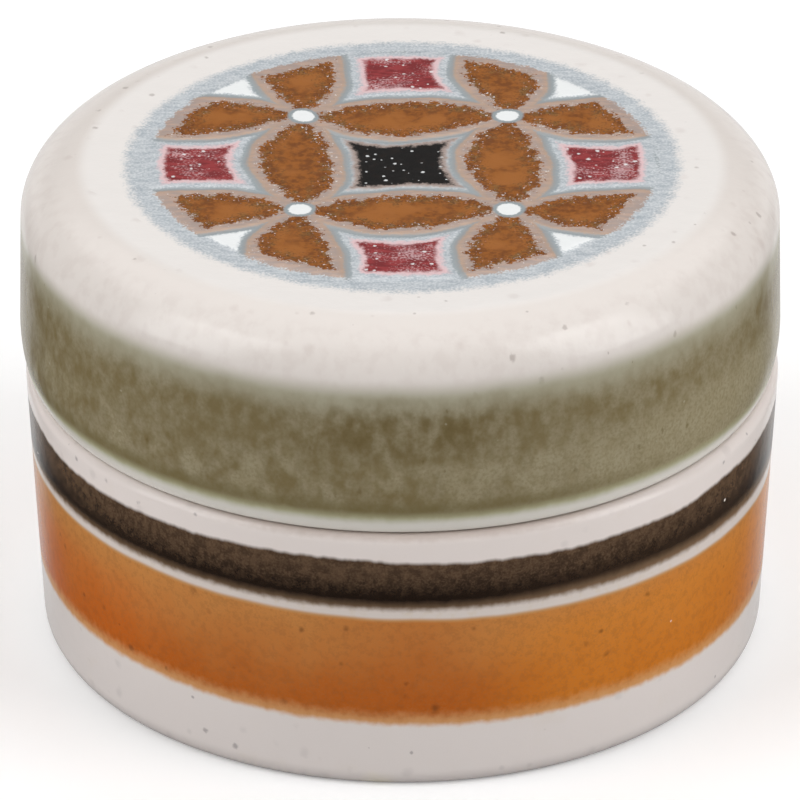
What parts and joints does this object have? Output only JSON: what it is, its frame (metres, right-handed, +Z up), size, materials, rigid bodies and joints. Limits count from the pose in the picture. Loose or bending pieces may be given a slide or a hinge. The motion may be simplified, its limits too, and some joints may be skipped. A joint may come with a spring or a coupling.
{
  "type": "lidded box",
  "caption": "Round stoneware box with a loose cap lid, banded sides and a painted medallion on the lid.",
  "frame": {"origin": "centre of the foot ring, on the surface the box stands on", "axes": "+Z up along the axis the lid lifts off along; +X to the right and +Y away from the picture's camera"},
  "size_m": [0.1, 0.1, 0.0659],
  "materials": {
    "box_glaze": "satin stoneware glaze with dark brown and orange bands",
    "lid_glaze": "satin stoneware glaze with an olive green band and a painted medallion"
  },
  "bodies": {
    "box": {"box_base": "box_glaze"},
    "lid": {"lid": "lid_glaze"}
  },
  "joints": [
    {"name": "lid_lift", "type": "slide", "parent": "box", "child": "lid", "axis": [0, 0, 1], "range_m": [0, 0.09]}
  ]
}
